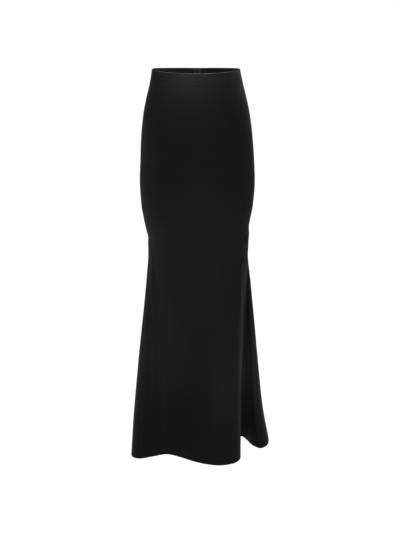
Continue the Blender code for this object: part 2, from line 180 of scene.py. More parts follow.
FOLDS = [Fold(*row) for row in (
    # name, angle at the knee (degrees from the front, + to the left), place at the hem,
    # shares of the flare reached half way and low down
    ("right side seam", -97, -0.1930, -0.0450, 0.54, 0.84),
    ("right lobe outside", -91, -0.1985, -0.0930, 0.55, 0.86),
    ("right lobe corner", -87, -0.1932, -0.1392, 0.55, 0.86),
    ("right lobe crest", -82, -0.1710, -0.1508, 0.54, 0.84),
    ("right lobe inside", -74, -0.1345, -0.1360, 0.50, 0.81),
    ("right valley", -62, -0.0910, -0.1190, 0.50, 0.81),
    ("front rise", -42, -0.0545, -0.1380, 0.50, 0.81),
    ("front slope", -20, -0.0130, -0.1700, 0.50, 0.81),
    ("front middle", 5, 0.0240, -0.1910, 0.50, 0.81),
    ("front crest", 27, 0.0640, -0.2010, 0.50, 0.81),
    ("front shoulder", 44, 0.1030, -0.1890, 0.50, 0.81),
    ("front edge", 58, 0.1240, -0.1635, 0.50, 0.81),
    ("front turn", 66, 0.1294, -0.1320, 0.50, 0.80),
    ("left return", 74, 0.1240, -0.0700, 0.50, 0.80),
    ("left return end", 80, 0.1270, -0.0030, 0.50, 0.78),
    ("left valley", 85, 0.1370, 0.0210, 0.48, 0.76),
    ("left lobe inside", 87.5, 0.1500, -0.0030, 0.46, 0.74),
    ("left lobe front", 90, 0.1700, -0.0540, 0.45, 0.73),
    ("left lobe crest", 92.5, 0.1910, -0.0730, 0.45, 0.72),
    ("left lobe corner", 95, 0.2130, -0.0480, 0.45, 0.72),
    ("left lobe outside", 97.5, 0.2200, 0.0020, 0.45, 0.72),
    ("left side seam", 100, 0.2160, 0.0400, 0.45, 0.72),
    ("left back hollow", 109, 0.1780, 0.0900, 0.48, 0.76),
    ("left train side", 119, 0.1790, 0.1480, 0.50, 0.78),
    ("left train fold", 128, 0.1570, 0.1920, 0.50, 0.78),
    ("left train back", 138, 0.1230, 0.1960, 0.50, 0.78),
    ("left train valley", 151, 0.0860, 0.1750, 0.50, 0.78),
    ("centre fold left", 166, 0.0480, 0.2160, 0.50, 0.78),
    ("centre back", 180, 0.0080, 0.2420, 0.50, 0.78),
    ("centre fold right", 194, -0.0330, 0.2180, 0.50, 0.78),
    ("right train valley", 209, -0.0710, 0.1780, 0.50, 0.78),
    ("right train back", 222, -0.1090, 0.1960, 0.50, 0.78),
    ("right train fold", 232, -0.1450, 0.1910, 0.50, 0.78),
    ("right train side", 241, -0.1660, 0.1480, 0.50, 0.78),
    ("right back hollow", 251, -0.1640, 0.0700, 0.50, 0.80),
)]
Crease = namedtuple("Crease", "angle depth end_angle end_depth bow half_width height")
CREASES = [Crease(*row) for row in (
    # from one angle and depth to another, sideways bow, half width, height (- is a trough);
    # pulls at the left knee, from the side seam down into the front fold
    (92, 0.452, 67, 0.492, 0.004, 0.0070, -0.0014),
    (92, 0.468, 64, 0.520, 0.005, 0.0055, 0.0022),
    (90, 0.488, 70, 0.545, 0.004, 0.0070, -0.0018),
    (70, 0.505, 62, 0.760, 0.002, 0.0060, 0.0022),
    # the long edge of the front fold and the valley behind it
    (65, 0.535, 65, 0.720, 0.000, 0.0028, 0.0009),
    (71, 0.560, 70, 1.200, 0.000, 0.0080, -0.0006),
    (93, 0.540, 94, 0.820, 0.000, 0.0150, 0.0018),
    # pulls at the right knee
    (-99, 0.478, -76, 0.512, -0.004, 0.0065, -0.0014),
    (-92, 0.498, -70, 0.550, -0.004, 0.0060, 0.0012),
    (-72, 0.530, -74, 0.655, 0.002, 0.0055, 0.0016),
    (-66, 0.530, -67, 0.640, 0.000, 0.0065, -0.0012),
    # soft fall of the right front fold
    (-74, 0.640, -73, 1.060, 0.003, 0.0140, 0.0016),
    (-63, 0.760, -61, 1.080, -0.003, 0.0110, -0.0016),
    # slight draws below the waistband and across the hips
    (-17, 0.022, -21, 0.120, 0.001, 0.0100, 0.0006),
    (-5, 0.022, -4, 0.095, 0.000, 0.0060, -0.0004),
    (-88, 0.235, -52, 0.262, 0.004, 0.0150, -0.0007),
    (-84, 0.368, -58, 0.385, 0.003, 0.0100, -0.0008),
    (84, 0.352, 60, 0.366, -0.003, 0.0110, -0.0006),
    # the same kind of pulls behind the knees and under the seat
    (104, 0.462, 131, 0.508, -0.004, 0.0070, -0.0016),
    (106, 0.480, 138, 0.535, -0.005, 0.0065, 0.0015),
    (256, 0.458, 226, 0.492, 0.004, 0.0075, -0.0014),
    (253, 0.484, 221, 0.528, 0.005, 0.0065, 0.0017),
    (140, 0.388, 176, 0.402, 0.006, 0.0120, -0.0013),
    (184, 0.372, 216, 0.392, 0.007, 0.0140, -0.0011),
    (176, 0.436, 150, 0.452, -0.004, 0.0100, 0.0009),
    # the long folds of the train
    (128, 0.600, 129, 1.200, 0.000, 0.0080, 0.0016),
    (151, 0.640, 152, 1.200, 0.000, 0.0120, -0.0014),
    (232, 0.590, 231, 1.200, 0.000, 0.0080, 0.0017),
    (208, 0.620, 210, 1.200, 0.000, 0.0110, -0.0014),
    (168, 0.700, 165, 1.200, 0.002, 0.0090, 0.0012),
    (193, 0.660, 195, 1.200, -0.002, 0.0090, 0.0011),
)]


def smooth_between(x_rows, y_rows, x):
    """Values at x of a curve through the rows that never swings past them."""
    x_rows, y_rows, x = (np.asarray(v, dtype=float) for v in (x_rows, y_rows, x))
    gaps = np.diff(x_rows)
    slopes = np.diff(y_rows) / gaps
    before, after = slopes[:-1], slopes[1:]
    turning = before * after <= 0
    total = np.where(turning, 1.0, before + after)
    tangents = np.zeros(len(x_rows))
    tangents[1:-1] = np.where(turning, 0.0, 2 * before * after / total)
    tangents[0], tangents[-1] = slopes[0], slopes[-1]
    x = np.clip(x, x_rows[0], x_rows[-1])
    i = np.clip(np.searchsorted(x_rows, x) - 1, 0, len(gaps) - 1)
    t = (x - x_rows[i]) / gaps[i]
    return ((1 + 2 * t) * (1 - t) ** 2 * y_rows[i] + t * (1 - t) ** 2 * gaps[i] * tangents[i]
            + t * t * (3 - 2 * t) * y_rows[i + 1] + t * t * (t - 1) * gaps[i] * tangents[i + 1])


def unit(vectors):
    return vectors / np.linalg.norm(vectors, axis=-1, keepdims=True)


class Skin:
    """The outer face of the cloth.

    A place runs round it from the right side seam, past a knot at each fold. Knots are as far
    apart as the square roots of the chords between the folds at the hem.
    """

    def __init__(self):
        self.folds = np.array([(fold.hem_x, fold.hem_y) for fold in FOLDS])
        self.chords = np.linalg.norm(np.roll(self.folds, -1, axis=0) - self.folds, axis=1)
        self.knots = np.concatenate([[0.0], np.cumsum(np.sqrt(self.chords))])
        self.numbers = {fold.name: i for i, fold in enumerate(FOLDS)}

    def round_curve(self, values, turn, places):
        """Values at places of a curve that closes on itself, plus turn each time round."""
        knots = np.concatenate([self.knots[:-1] + lap * self.knots[-1] for lap in (-1, 0, 1)])
        values = np.concatenate([np.asarray(values) + lap * turn for lap in (-1, 0, 1)])
        return smooth_between(knots, values, places)

    def angle(self, places):
        return self.round_curve([fold.knee_angle for fold in FOLDS], 360, places)

    def hem(self, places):
        """The closed hem line through the folds' places, seen from above."""
        gaps = np.diff(self.knots)
        ahead = (np.roll(self.folds, -1, axis=0) - self.folds) / gaps[:, None]
        behind, gap_behind = np.roll(ahead, 1, axis=0), np.roll(gaps, 1)[:, None]
        tangents = (behind * gaps[:, None] + ahead * gap_behind) / (gaps[:, None] + gap_behind)
        places = np.mod(places, self.knots[-1])
        i = np.clip(np.searchsorted(self.knots, places, side="right") - 1, 0, len(gaps) - 1)
        j = (i + 1) % len(gaps)
        t = ((places - self.knots[i]) / gaps[i])[:, None]
        h = gaps[i][:, None]
        return ((1 + 2 * t) * (1 - t) ** 2 * self.folds[i] + t * (1 - t) ** 2 * h * tangents[i]
                + t * t * (3 - 2 * t) * self.folds[j] + t * t * (t - 1) * h * tangents[j])

    def points(self, places, depths):
        """Grid of points, a row for each depth below the waist edge."""
        table = [row.depth for row in BODY_SECTIONS]
        half_width, front, back, shift = (
            smooth_between(table, [getattr(row, column) for row in BODY_SECTIONS], depths)[:, None]
            for column in ("half_width", "front", "back", "shift"))
        angles = np.radians(self.angle(places))
        sine, cosine = np.sin(angles), np.cos(angles)
        reach = np.where(cosine > 0, front, back)
        radius = ((np.abs(sine) / half_width) ** SECTION_POWER
                  + (np.abs(cosine) / reach) ** SECTION_POWER) ** (-1 / SECTION_POWER)
        body = np.stack([shift + radius * sine, -radius * cosine], axis=-1)
        half_way, low_down = (
            self.round_curve([getattr(fold, column) for fold in FOLDS], 0, places)
            for column in ("half_way", "low_down"))
        levels = (0, FLARE_START, FLARE_OPENED, HALF_WAY, LOW_DOWN, SKIRT_LENGTH)
        flare = np.stack([smooth_between(levels, (0, 0, OPENED_SHARE, half, low, 1), depths)
                          for half, low in zip(half_way, low_down)], axis=1)
        plan = body + (self.hem(places) - body) * flare[..., None]
        dip = ((WAIST_DIP * cosine ** 2 - SIDE_LIFT * sine ** SIDE_LIFT_POWER)
               * np.maximum(0, 1 - depths / DIP_FADE)[:, None])
        return np.concatenate([plan, (-depths[:, None] - dip)[..., None]], axis=-1)

    def outward(self, places, depths):
        """Unit vectors out of the cloth, at the points of the same grid."""
        step = SLOPE_REACH
        across = self.points(places + step, depths) - self.points(places - step, depths)
        upward = self.points(places, depths - step) - self.points(places, depths + step)
        return unit(np.cross(unit(across), unit(upward)))

    def creases(self, places, depths):
        """How far the cloth stands out from the smooth skin, over the same grid."""
        x = (self.angle(places) * METRES_PER_DEGREE)[None, :]
        y = depths[:, None]
        relief = np.zeros((len(depths), len(places)))
        for crease in CREASES:
            start = np.array([crease.angle * METRES_PER_DEGREE, crease.depth])
            end = np.array([crease.end_angle * METRES_PER_DEGREE, crease.end_depth])
            length = np.linalg.norm(end - start)
            along = (end - start) / length
            t = ((x - start[0]) * along[0] + (y - start[1]) * along[1]) / length
            aside = (y - start[1]) * along[0] - (x - start[0]) * along[1]
            aside = aside - crease.bow * 4 * t * (1 - t)
            fade = np.sin(math.pi * np.clip(t, 0, 1)) ** CREASE_FADE_POWER
            relief += crease.height * fade * np.exp(-(aside / crease.half_width) ** 2)
        return relief

    def creased_points(self, places, depths):
        relief = self.creases(places, depths)[..., None]
        return self.points(places, depths) + self.outward(places, depths) * relief


def steps_between(start, end, spacing):
    count = max(1, round(abs(end - start) / spacing))
    return np.linspace(start, end, count + 1)


def knots_between(first, last):
    """Knots from one fold on round to another, which may be the same one, and their chords."""
    start, end = skin.numbers[first], skin.numbers[last]
    if end <= start:
        end += len(FOLDS)
    knots = np.concatenate([skin.knots, skin.knots[1:] + skin.knots[-1]])
    return knots[start:end + 1], np.tile(skin.chords, 2)[start:end]


def places_between(first, last, spacing):
    """Places from one fold round to another, closer together where both edges roll in."""
    knots, chords = knots_between(first, last)
    places = [steps_between(start, end, spacing * (end - start) / chord)[:-1]
              for start, end, chord in zip(knots, knots[1:], chords)]
    places = np.concatenate([*places, knots[-1:]])
    near = np.array(EDGE_STEPS) / spacing
    from_start = places[0] + near * (places[1] - places[0])
    to_end = places[-1] - near[::-1] * (places[-1] - places[-2])
    return np.concatenate([places[:1], from_start, places[1:-1], to_end, places[-1:]])


def rolled_in(distance, radius):
    """How far a rounded edge lies below the face, at a distance from where it ends."""
    inside = np.clip(radius - distance, 0, radius)
    return radius - np.sqrt(radius ** 2 - inside ** 2)


def distance_from_first(points, axis):
    steps = np.linalg.norm(np.diff(points, axis=axis), axis=-1)
    zero = np.zeros_like(np.take(steps, [0], axis=axis))
    return np.concatenate([zero, np.cumsum(steps, axis=axis)], axis=axis)


def sewn_faces(places, depths, walls, side_gap, folded):
    """Outer face, inner face and unit vectors outwards of a piece with rounded edges.

    Both sides end in seams, and folded says which of top and foot is a fold. The side gap
    is one number or one for each depth.
    """
    side_gap = np.reshape(side_gap, (-1, 1, 1))
    outward = skin.outward(places, depths)
    outer = skin.creased_points(places, depths)
    across = distance_from_first(outer, axis=1)
    down = distance_from_first(outer, axis=0)
    up, back = down[-1:] - down, across[:, -1:] - across
    beyond = 2 * len(EDGE_STEPS)
    for distance, edge, neighbour in ((across, 0, beyond), (back, -1, -1 - beyond)):
        inwards = unit(outer[:, neighbour] - outer[:, edge])[:, None]
        share = np.clip(1 - distance / GAP_FADE, 0, 1)[..., None]
        outer = outer + inwards * share * side_gap / 2
    ends = {"top": down, "foot": up}
    fold_roll = rolled_in(ends.pop(folded), FOLD_ROLL)
    seams = [across, back, *ends.values()]
    drawn_in = np.maximum.reduce([fold_roll, *(rolled_in(seam, SEAM_ROLL) for seam in seams)])
    inner = outer - outward * (np.asarray(walls)[:, None] - fold_roll)[..., None]
    return outer - outward * drawn_in[..., None], inner, outward


def on_the_flat(outer):
    """Place of each point on the flat cloth, in metres, from the top of its middle line."""
    across = distance_from_first(outer, axis=1)
    down = distance_from_first(outer, axis=0)
    return np.stack([across - across[:, -1:] / 2, -down], axis=-1)


def cloth_piece(name, outer, inner, finish):
    """A closed wall of cloth between two grids of points (rows, columns, xyz)."""
    rows, columns = outer.shape[:2]
    count = rows * columns
    number = np.arange(count).reshape(rows, columns)
    corners = [number[:-1, :-1], number[1:, :-1], number[1:, 1:], number[:-1, 1:]]
    outside = np.stack(corners, axis=-1).reshape(-1, 4)
    rim = np.concatenate([number[0, :-1], number[:-1, -1], number[-1, :0:-1], number[:0:-1, 0]])
    after = np.roll(rim, -1)
    edge = np.stack([rim, after, after + count, rim + count], axis=-1)
    faces = np.concatenate([outside, outside[:, ::-1] + count, edge])
    data = bpy.data.meshes.new(name)
    data.from_pydata(np.concatenate([outer.reshape(-1, 3), inner.reshape(-1, 3)]), [], faces)
    flat = np.tile(on_the_flat(outer).reshape(-1, 2), (2, 1))[faces.ravel()]
    data.uv_layers.new(name="cut").data.foreach_set("uv", flat.astype(np.float32).ravel())
    data.materials.append(finish)
    data.shade_smooth()
    return placed(name, data)


def placed(name, data):
    piece = bpy.data.objects.new(name, data)
    bpy.context.scene.collection.objects.link(piece)
    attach(piece, "skirt")
    return piece


skin = Skin()
PANEL_TOP = WAISTBAND_HEIGHT + SEAM_GAP
TURN_TOP = SKIRT_LENGTH - HEM_TURN
edge_steps = np.array([0.0, *EDGE_STEPS])
panel_depths = np.unique(np.concatenate([
    PANEL_TOP + edge_steps, steps_between(PANEL_TOP, TURN_TOP, ROW_SPACING),
    TURN_TOP + edge_steps[1:], steps_between(TURN_TOP, SKIRT_LENGTH, ROW_SPACING),
    SKIRT_LENGTH - edge_steps]))
panel_walls = np.where(panel_depths > TURN_TOP, HEM_WALL, CREPE_WALL)


def sewn_panel(name, first, last, solid):
    """A panel from one seam round to the next, and from under the waistband to the hem."""
    places = places_between(first, last, COLUMN_SPACING)
    outer, inner, outward = sewn_faces(places, panel_depths, panel_walls, JOIN_GAP, "foot")
    cloth = cloth_piece(name, outer, inner, crepe)
    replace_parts(cloth, solid)
    return cloth, inner, outward


front = sewn_panel("front_panel_cloth", "right side seam", "left side seam", "front_panel")

# ---- Back panels -------------------------------------------------------------------------
# Two pieces of the same crepe, longer and fuller at the hem than the front, so that they
# make the train. They meet the front at the side seams and each other at the centre back.
back_left = sewn_panel("back_left_panel_cloth", "left side seam", "centre back",
                       "back_left_panel")
back_right = sewn_panel("back_right_panel_cloth", "centre back", "right side seam",
                        "back_right_panel")

# ---- Waistband ---------------------------------------------------------------------------
# A strip of the same crepe folded lengthways, with its fold at the top. It is sewn to the
# panels along its lower edge, and its two ends close at the centre back over the zip.
BAND_WALL = 0.0024              # two layers
BAND_COLUMN_SPACING = 0.010     # at the hem, as for the panels
BAND_ROW_SPACING = 0.0015
NECK_GAP = 0.0012               # between the band's ends where the slider's neck passes
SLIDER_DEPTH = 0.013            # the slider's middle, below the waist edge
NECK_ROOM = (0.0017, 0.0021)    # from the slider's middle: gap fully open, gap closed again

band_depths = np.unique(np.concatenate([
    edge_steps, steps_between(0, WAISTBAND_HEIGHT, BAND_ROW_SPACING),
    WAISTBAND_HEIGHT - edge_steps,
    SLIDER_DEPTH - np.array(NECK_ROOM), SLIDER_DEPTH + np.array(NECK_ROOM)]))
band_gap = np.interp(abs(band_depths - SLIDER_DEPTH), NECK_ROOM, (NECK_GAP, 0.0))
band_places = places_between("centre back", "centre back", BAND_COLUMN_SPACING)
outer, inner, _ = sewn_faces(band_places, band_depths, [BAND_WALL] * len(band_depths),
                             band_gap, "top")
band = cloth_piece("waistband_cloth", outer, inner, crepe)
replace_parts(band, "waistband")

# ---- Seam allowances ---------------------------------------------------------------------
# The panels' own edges inside the seams, pressed open so that each lies on its own panel.
# At the centre back they start below the zip, which is sewn to them above.
ALLOWANCE_STEPS = (0.00005, 0.0030, 0.0060, 0.0090, 0.0120)  # from the seam
ALLOWANCE_WALL = 0.0008
PRESSED_GAP = 0.0002
EDGE_LIFT = 0.0009              # the free edge curls off the panel by up to this much
LIFTS_PER_METRE = 9.0
LIFT_WANDER = 2.0               # radians by which a lift comes early or late
WANDER_RATE = 2.3               # radians by which that changes from one lift to the next
ZIP_TOP = 0.004                 # below the waist edge
ZIP_LENGTH = 0.215
ZIP_CLEARANCE = 0.0006          # between the tapes' foot and the allowances below them
BELOW_ZIP = ZIP_TOP + ZIP_LENGTH + ZIP_CLEARANCE


def pressed_strip(cloth, inner, outward, from_last, top):
    """Faces of one strip on the inside of a panel, along its first or its last edge."""
    rows = (panel_depths >= top) & (panel_depths < TURN_TOP - SEAM_GAP)
    inner, outward = inner[rows], outward[rows]
    if from_last:
        inner, outward = inner[:, ::-1], outward[:, ::-1]
    distance = distance_from_first(inner, axis=1)
    seats, facing = (
        np.stack([np.stack([np.interp(ALLOWANCE_STEPS, d, p[:, axis]) for axis in range(3)], -1)
                  for d, p in zip(distance, grid)])
        for grid in (inner, outward))
    lifts = panel_depths[rows] * LIFTS_PER_METRE
    curl = 0.5 + 0.5 * np.sin(lifts * math.tau + LIFT_WANDER * np.sin(lifts * WANDER_RATE))
    share = (np.array(ALLOWANCE_STEPS) / ALLOWANCE_STEPS[-1]) ** 2
    lift = PRESSED_GAP + EDGE_LIFT * curl[:, None] * share[None, :]
    near, far = (seats - facing * (lift + depth)[..., None] for depth in (0, ALLOWANCE_WALL))
    if from_last:
        near, far, facing = near[:, ::-1], far[:, ::-1], facing[:, ::-1]
    return near, far, facing


raw_edges = []                  # (points, unit vectors into the skirt) along each free edge
for name, (cloth, inner, outward), tops in (
        ("front_panel", front, (PANEL_TOP, PANEL_TOP)),
        ("back_left_panel", back_left, (PANEL_TOP, BELOW_ZIP)),
        ("back_right_panel", back_right, (BELOW_ZIP, PANEL_TOP))):
    for side, from_last, top in (("first", False, tops[0]), ("last", True, tops[1])):
        near, far, facing = pressed_strip(cloth, inner, outward, from_last, top)
        strip = cloth_piece(f"{name}_{side}_allowance", near, far, crepe)
        strip.parent = cloth
        free = 0 if from_last else -1
        edge = (near[:, free] + far[:, free]) / 2
        order = slice(None) if from_last else slice(None, None, -1)
        raw_edges.append((edge[order], -facing[:, free][order]))

# ---- Overlocking and stitches ------------------------------------------------------------
# Black polyester thread. It whips over each raw edge inside, holds the turned hem with
# blind stitches, and holds the waistband's inner layer along the waist seam.
THREAD_RADIUS = 0.00013
OVERLOCK_SPACING = 0.0028
OVERLOCK_DEPTH = 0.0034         # from the raw edge to the needle line
OVERLOCK_RISE = 0.0007
OVERLOCK_WRAP = (0.0004, -0.0002)       # a loop ends past the raw edge, and below its middle
BLIND_SPACING = 0.0072
BLIND_REACH = 0.0013
BLIND_RISES = (0.0011, 0.0016, 0.0001)  # off the panel: a stitch's start, bend and end
RUNNING_SPACING = 0.0027
RUNNING_SHARE = 0.78            # of the spacing is thread, and the rest is below the cloth
BAND_STITCH_RISE = 0.0025       # above the waist seam
BAND_STITCH_START = 0.014       # from the middle of the zip, clear of its tapes
LINE_POINTS = 700               # in a line all round the inside
THREAD_STEPS = 4                # straight pieces in one bend of thread
THREAD_SIDES = 4
THREAD_DARK = (0.005, 0.005, 0.0053)
THREAD_LIGHT = (0.014, 0.014, 0.0145)
PLIES_PER_METRE = 2500.0

thread, tree, shader = new_finish("black thread", {
    "Roughness": 0.55, "Specular IOR Level": 0.25, "Sheen Weight": 0.05})
spot = node(tree, "ShaderNodeTexCoord")
plies = node(tree, "ShaderNodeTexNoise",
             {"Vector": spot.outputs["Object"], "Scale": PLIES_PER_METRE})
between_blacks(tree, shader, plies.outputs["Fac"], THREAD_DARK, THREAD_LIGHT)


def bends_along_a_line():
    """Geometry nodes that set one bend of thread or wire at even steps along a line.

    The line's points say which way is up. X runs along the line, Y across and Z up.
    """
    tree = bpy.data.node_groups.new("bends along a line", "GeometryNodeTree")
    tree.interface.new_socket("Geometry", in_out="INPUT", socket_type="NodeSocketGeometry")
    for name, kind in (("Spacing", "Float"), ("Start", "Vector"), ("Middle", "Vector"),
                       ("End", "Vector"), ("Radius", "Float"), ("Steps", "Int"),
                       ("Sides", "Int"), ("Finish", "Material")):
        tree.interface.new_socket(name, in_out="INPUT", socket_type=f"NodeSocket{kind}")
    tree.interface.new_socket("Geometry", in_out="OUTPUT", socket_type="NodeSocketGeometry")
    given = node(tree, "NodeGroupInput").outputs
    line = node(tree, "GeometryNodeMeshToCurve", {"Mesh": given["Geometry"]})
    spots = node(tree, "GeometryNodeResampleCurve",
                 {"Curve": line.outputs["Curve"], "Length": given["Spacing"]}, mode="LENGTH")
    up = node(tree, "GeometryNodeInputNamedAttribute", {"Name": "up"},
              data_type="FLOAT_VECTOR")
    turned = node(tree, "FunctionNodeAxesToRotation",
                  {"Primary Axis": node(tree, "GeometryNodeInputTangent").outputs["Tangent"],
                   "Secondary Axis": up.outputs["Attribute"]},
                  primary_axis="X", secondary_axis="Z")
    bend = node(tree, "GeometryNodeCurveQuadraticBezier",
                {"Resolution": given["Steps"], "Start": given["Start"],
                 "Middle": given["Middle"], "End": given["End"]})
    ring = node(tree, "GeometryNodeCurvePrimitiveCircle",
                {"Resolution": given["Sides"], "Radius": given["Radius"]})
    strand = node(tree, "GeometryNodeCurveToMesh",
                  {"Curve": bend.outputs["Curve"], "Profile Curve": ring.outputs["Curve"],
                   "Fill Caps": True})
    bends = node(tree, "GeometryNodeInstanceOnPoints",
                 {"Points": spots.outputs["Curve"], "Instance": strand.outputs["Mesh"],
                  "Rotation": turned.outputs["Rotation"]})
    real = node(tree, "GeometryNodeRealizeInstances", {"Geometry": bends.outputs["Instances"]})
    dressed = node(tree, "GeometryNodeSetMaterial",
                   {"Geometry": real.outputs["Geometry"], "Material": given["Finish"]})
    node(tree, "NodeGroupOutput", {"Geometry": dressed.outputs["Geometry"]})
    return tree


bends = bends_along_a_line()


def line_mesh(lines):
    """Lines as loose edges, each point with its own up."""
    data = bpy.data.meshes.new("lines")
    starts = np.cumsum([0, *(len(points) for points, _ in lines)])
    edges = [(i, i + 1) for first, after in zip(starts, starts[1:])
             for i in range(first, after - 1)]
    data.from_pydata(np.concatenate([points for points, _ in lines]), edges, [])
    up = data.attributes.new("up", "FLOAT_VECTOR", "POINT")
    up.data.foreach_set("vector", np.concatenate([ups for _, ups in lines]).ravel())
    return data


def bent_along(lines, spacing, start, middle, end, radius, steps, sides, finish):
    """A plain mesh of all the bends along the lines."""
    guide = bpy.data.objects.new("guide", line_mesh(lines))
    bpy.context.scene.collection.objects.link(guide)
    modifier = guide.modifiers.new("bends", "NODES")
    modifier.node_group = bends
    values = {"Spacing": spacing, "Start": start, "Middle": middle, "End": end,
              "Radius": radius, "Steps": steps, "Sides": sides, "Finish": finish}
    for socket in bends.interface.items_tree:
        if socket.in_out == "INPUT" and socket.name in values:
            modifier[socket.identifier] = values[socket.name]
    bpy.context.view_layer.update()
    evaluated = guide.evaluated_get(bpy.context.evaluated_depsgraph_get())
    made = bpy.data.meshes.new_from_object(evaluated)
    bpy.data.objects.remove(guide)
    return made


def joined(name, meshes, finish):
    """Several plain meshes as one piece on the skirt."""
    together = bmesh.new()
    for mesh in meshes:
        together.from_mesh(mesh)
        bpy.data.meshes.remove(mesh)
    data = bpy.data.meshes.new(name)
    together.to_mesh(data)
    together.free()
    data.materials.clear()
    data.materials.append(finish)
    data.shade_smooth()
    return placed(name, data)


def threaded(lines, spacing, start, middle, end):
    return bent_along(lines, spacing, start, middle, end,
                      THREAD_RADIUS, THREAD_STEPS, THREAD_SIDES, thread)


def overlocked(lines):
    """Slanting loops over a raw edge and the needle line that holds them."""
    half = OVERLOCK_SPACING / 2
    start, end = ((x, -OVERLOCK_DEPTH, OVERLOCK_RISE / 2) for x in (-half, half))
    loops = threaded(lines, OVERLOCK_SPACING, start,
                     (0, -OVERLOCK_DEPTH / 3, 2 * OVERLOCK_RISE), (half, *OVERLOCK_WRAP))
    needle = threaded(lines, OVERLOCK_SPACING, start, (0, -OVERLOCK_DEPTH, OVERLOCK_RISE), end)
    return [loops, needle]


joined("overlocked_seam_edges", overlocked(raw_edges), thread)


def inside_line(depth, wall, start=0.0):
    """A line round the inside at one level, from zip to zip, and its vectors inwards.

    It starts and ends at a distance from the middle of the zip.
    """
    knots, _ = knots_between("centre back", "centre back")
    places = np.linspace(knots[0], knots[-1], LINE_POINTS)
    level = np.array([depth])
    inwards = -skin.outward(places, level)[0]
    points = skin.creased_points(places, level)[0] + inwards * wall
    run = distance_from_first(points, axis=0)
    shown = (run >= start) & (run <= run[-1] - start)
    return points[shown], inwards[shown]


def running_stitches(lines):
    half = RUNNING_SPACING * RUNNING_SHARE / 2
    return threaded(lines, RUNNING_SPACING, (-half, 0, -THREAD_RADIUS),
                    (0, 0, 3 * THREAD_RADIUS), (half, 0, -THREAD_RADIUS))


turned_edge = inside_line(TURN_TOP, (CREPE_WALL + HEM_WALL) / 2)
blind = threaded([inside_line(TURN_TOP, CREPE_WALL)], BLIND_SPACING,
                 (-BLIND_REACH, -BLIND_REACH, BLIND_RISES[0]), (0, 0, BLIND_RISES[1]),
                 (BLIND_REACH, 2 * BLIND_REACH, BLIND_RISES[2]))
joined("hem_stitches", [*overlocked([turned_edge]), blind], thread)
band_line = inside_line(WAISTBAND_HEIGHT - BAND_STITCH_RISE, BAND_WALL, BAND_STITCH_START)
joined("waistband_stitches", [running_stitches([band_line])], thread)

# ---- Zip ---------------------------------------------------------------------------------
# A concealed zip. Two woven polyester tapes are sewn inside the opening, each with a nylon
# coil along its edge; the two coils lock into each other below the slider.
TAPE_WALL = 0.0010
TAPE_WIDTH = 0.0120
ZIP_GAP = 0.0014                # between the tapes
TAPE_STEP = 0.006               # length over which a tape steps down from the band
TAPE_ROW_SPACING = 0.004
TAPE_DARK = (0.003, 0.003, 0.0032)
TAPE_LIGHT = (0.008, 0.008, 0.0084)
RIB_SCALE = 301.5873            # makes 960 ribs a metre
RIB_HEIGHT = 0.0001
COIL_PITCH = 0.00125
COIL_WIRE = 0.00026             # radius
COIL_REACH = 0.0021             # from the middle of the zip to the back of a loop
COIL_SPAN = 0.3                 # of the pitch, from a loop's middle to each foot
COIL_LOCK = 1.35                # of the reach, past the middle, to the point that bends a loop
COIL_RISE = 5.0                 # wire radii up to that point
COIL_STEPS = 6
COIL_SIDES = 6
COIL_TOP = 0.0195               # below the waist edge, under the slider
STOP_DEPTH = 0.2135             # below the waist edge, where the coil ends
TAPE_STITCH = 0.0052            # from the middle of the zip
TAPE_STITCH_ENDS = (0.006, 0.216)       # below the waist edge

woven, tree, shader = new_finish("black woven tape", {
    "Roughness": 0.7, "Specular IOR Level": 0.12})
spot = node(tree, "ShaderNodeTexCoord")
ribs = node(tree, "ShaderNodeTexWave",
            {"Vector": spot.outputs["Object"], "Scale": RIB_SCALE,
             "Distortion": 0.6, "Detail": 1.0}, bands_direction="Z")
between_blacks(tree, shader, ribs.outputs["Fac"], TAPE_DARK, TAPE_LIGHT)
raised_grain(tree, shader, ribs.outputs["Fac"], strength=0.6, height=RIB_HEIGHT)

nylon, _, _ = new_finish("black nylon", {
    "Base Color": (0.006, 0.006, 0.0065, 1), "Roughness": 0.38, "Specular IOR Level": 0.25})


def zip_line(top, end, aside, raised=0.0):
    """A line down the tapes' inner face, aside from the middle, and its vectors inwards."""
    depths = steps_between(top, end, TAPE_ROW_SPACING)
    knots, _ = knots_between("centre back", "centre fold right")
    beside = (knots[1] - knots[0]) / 2
    places = knots[0] + np.array([-beside, 0, beside])
    walls = np.interp(depths, (PANEL_TOP, PANEL_TOP + TAPE_STEP), (BAND_WALL, CREPE_WALL))
    inwards = -skin.outward(places, depths)
    depth_in = walls + SEAM_GAP + TAPE_WALL + raised
    grid = skin.points(places, depths) + inwards * depth_in[:, None, None]
    sideways = unit(grid[:, 0 if aside > 0 else 2] - grid[:, 1])
    return grid[:, 1] + sideways * abs(aside), inwards[:, 1]


for side, name in ((1, "left"), (-1, "right")):
    seated, shown = (
        np.stack([zip_line(ZIP_TOP, ZIP_TOP + ZIP_LENGTH, side * aside, raised)[0]
                  for aside in (ZIP_GAP / 2, ZIP_GAP / 2 + TAPE_WIDTH)][::-side], axis=1)
        for raised in (-TAPE_WALL, 0.0))
    tape = cloth_piece(f"zip_tape_{name}_woven", seated, shown, woven)
    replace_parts(tape, f"zip_tape_{name}")
span = COIL_PITCH * COIL_SPAN
coils = [bent_along([zip_line(COIL_TOP + late, STOP_DEPTH, 0)], COIL_PITCH,
                    (-span, foot, COIL_WIRE), (0, -foot * COIL_LOCK, COIL_RISE * COIL_WIRE),
                    (span, foot, COIL_WIRE), COIL_WIRE, COIL_STEPS, COIL_SIDES, nylon)
         for foot, late in ((COIL_REACH, 0), (-COIL_REACH, COIL_PITCH / 2))]
joined("zip_coil", coils, nylon)
joined("zip_stitches", [running_stitches([zip_line(*TAPE_STITCH_ENDS, side * TAPE_STITCH)])
                        for side in (-1, 1)], thread)

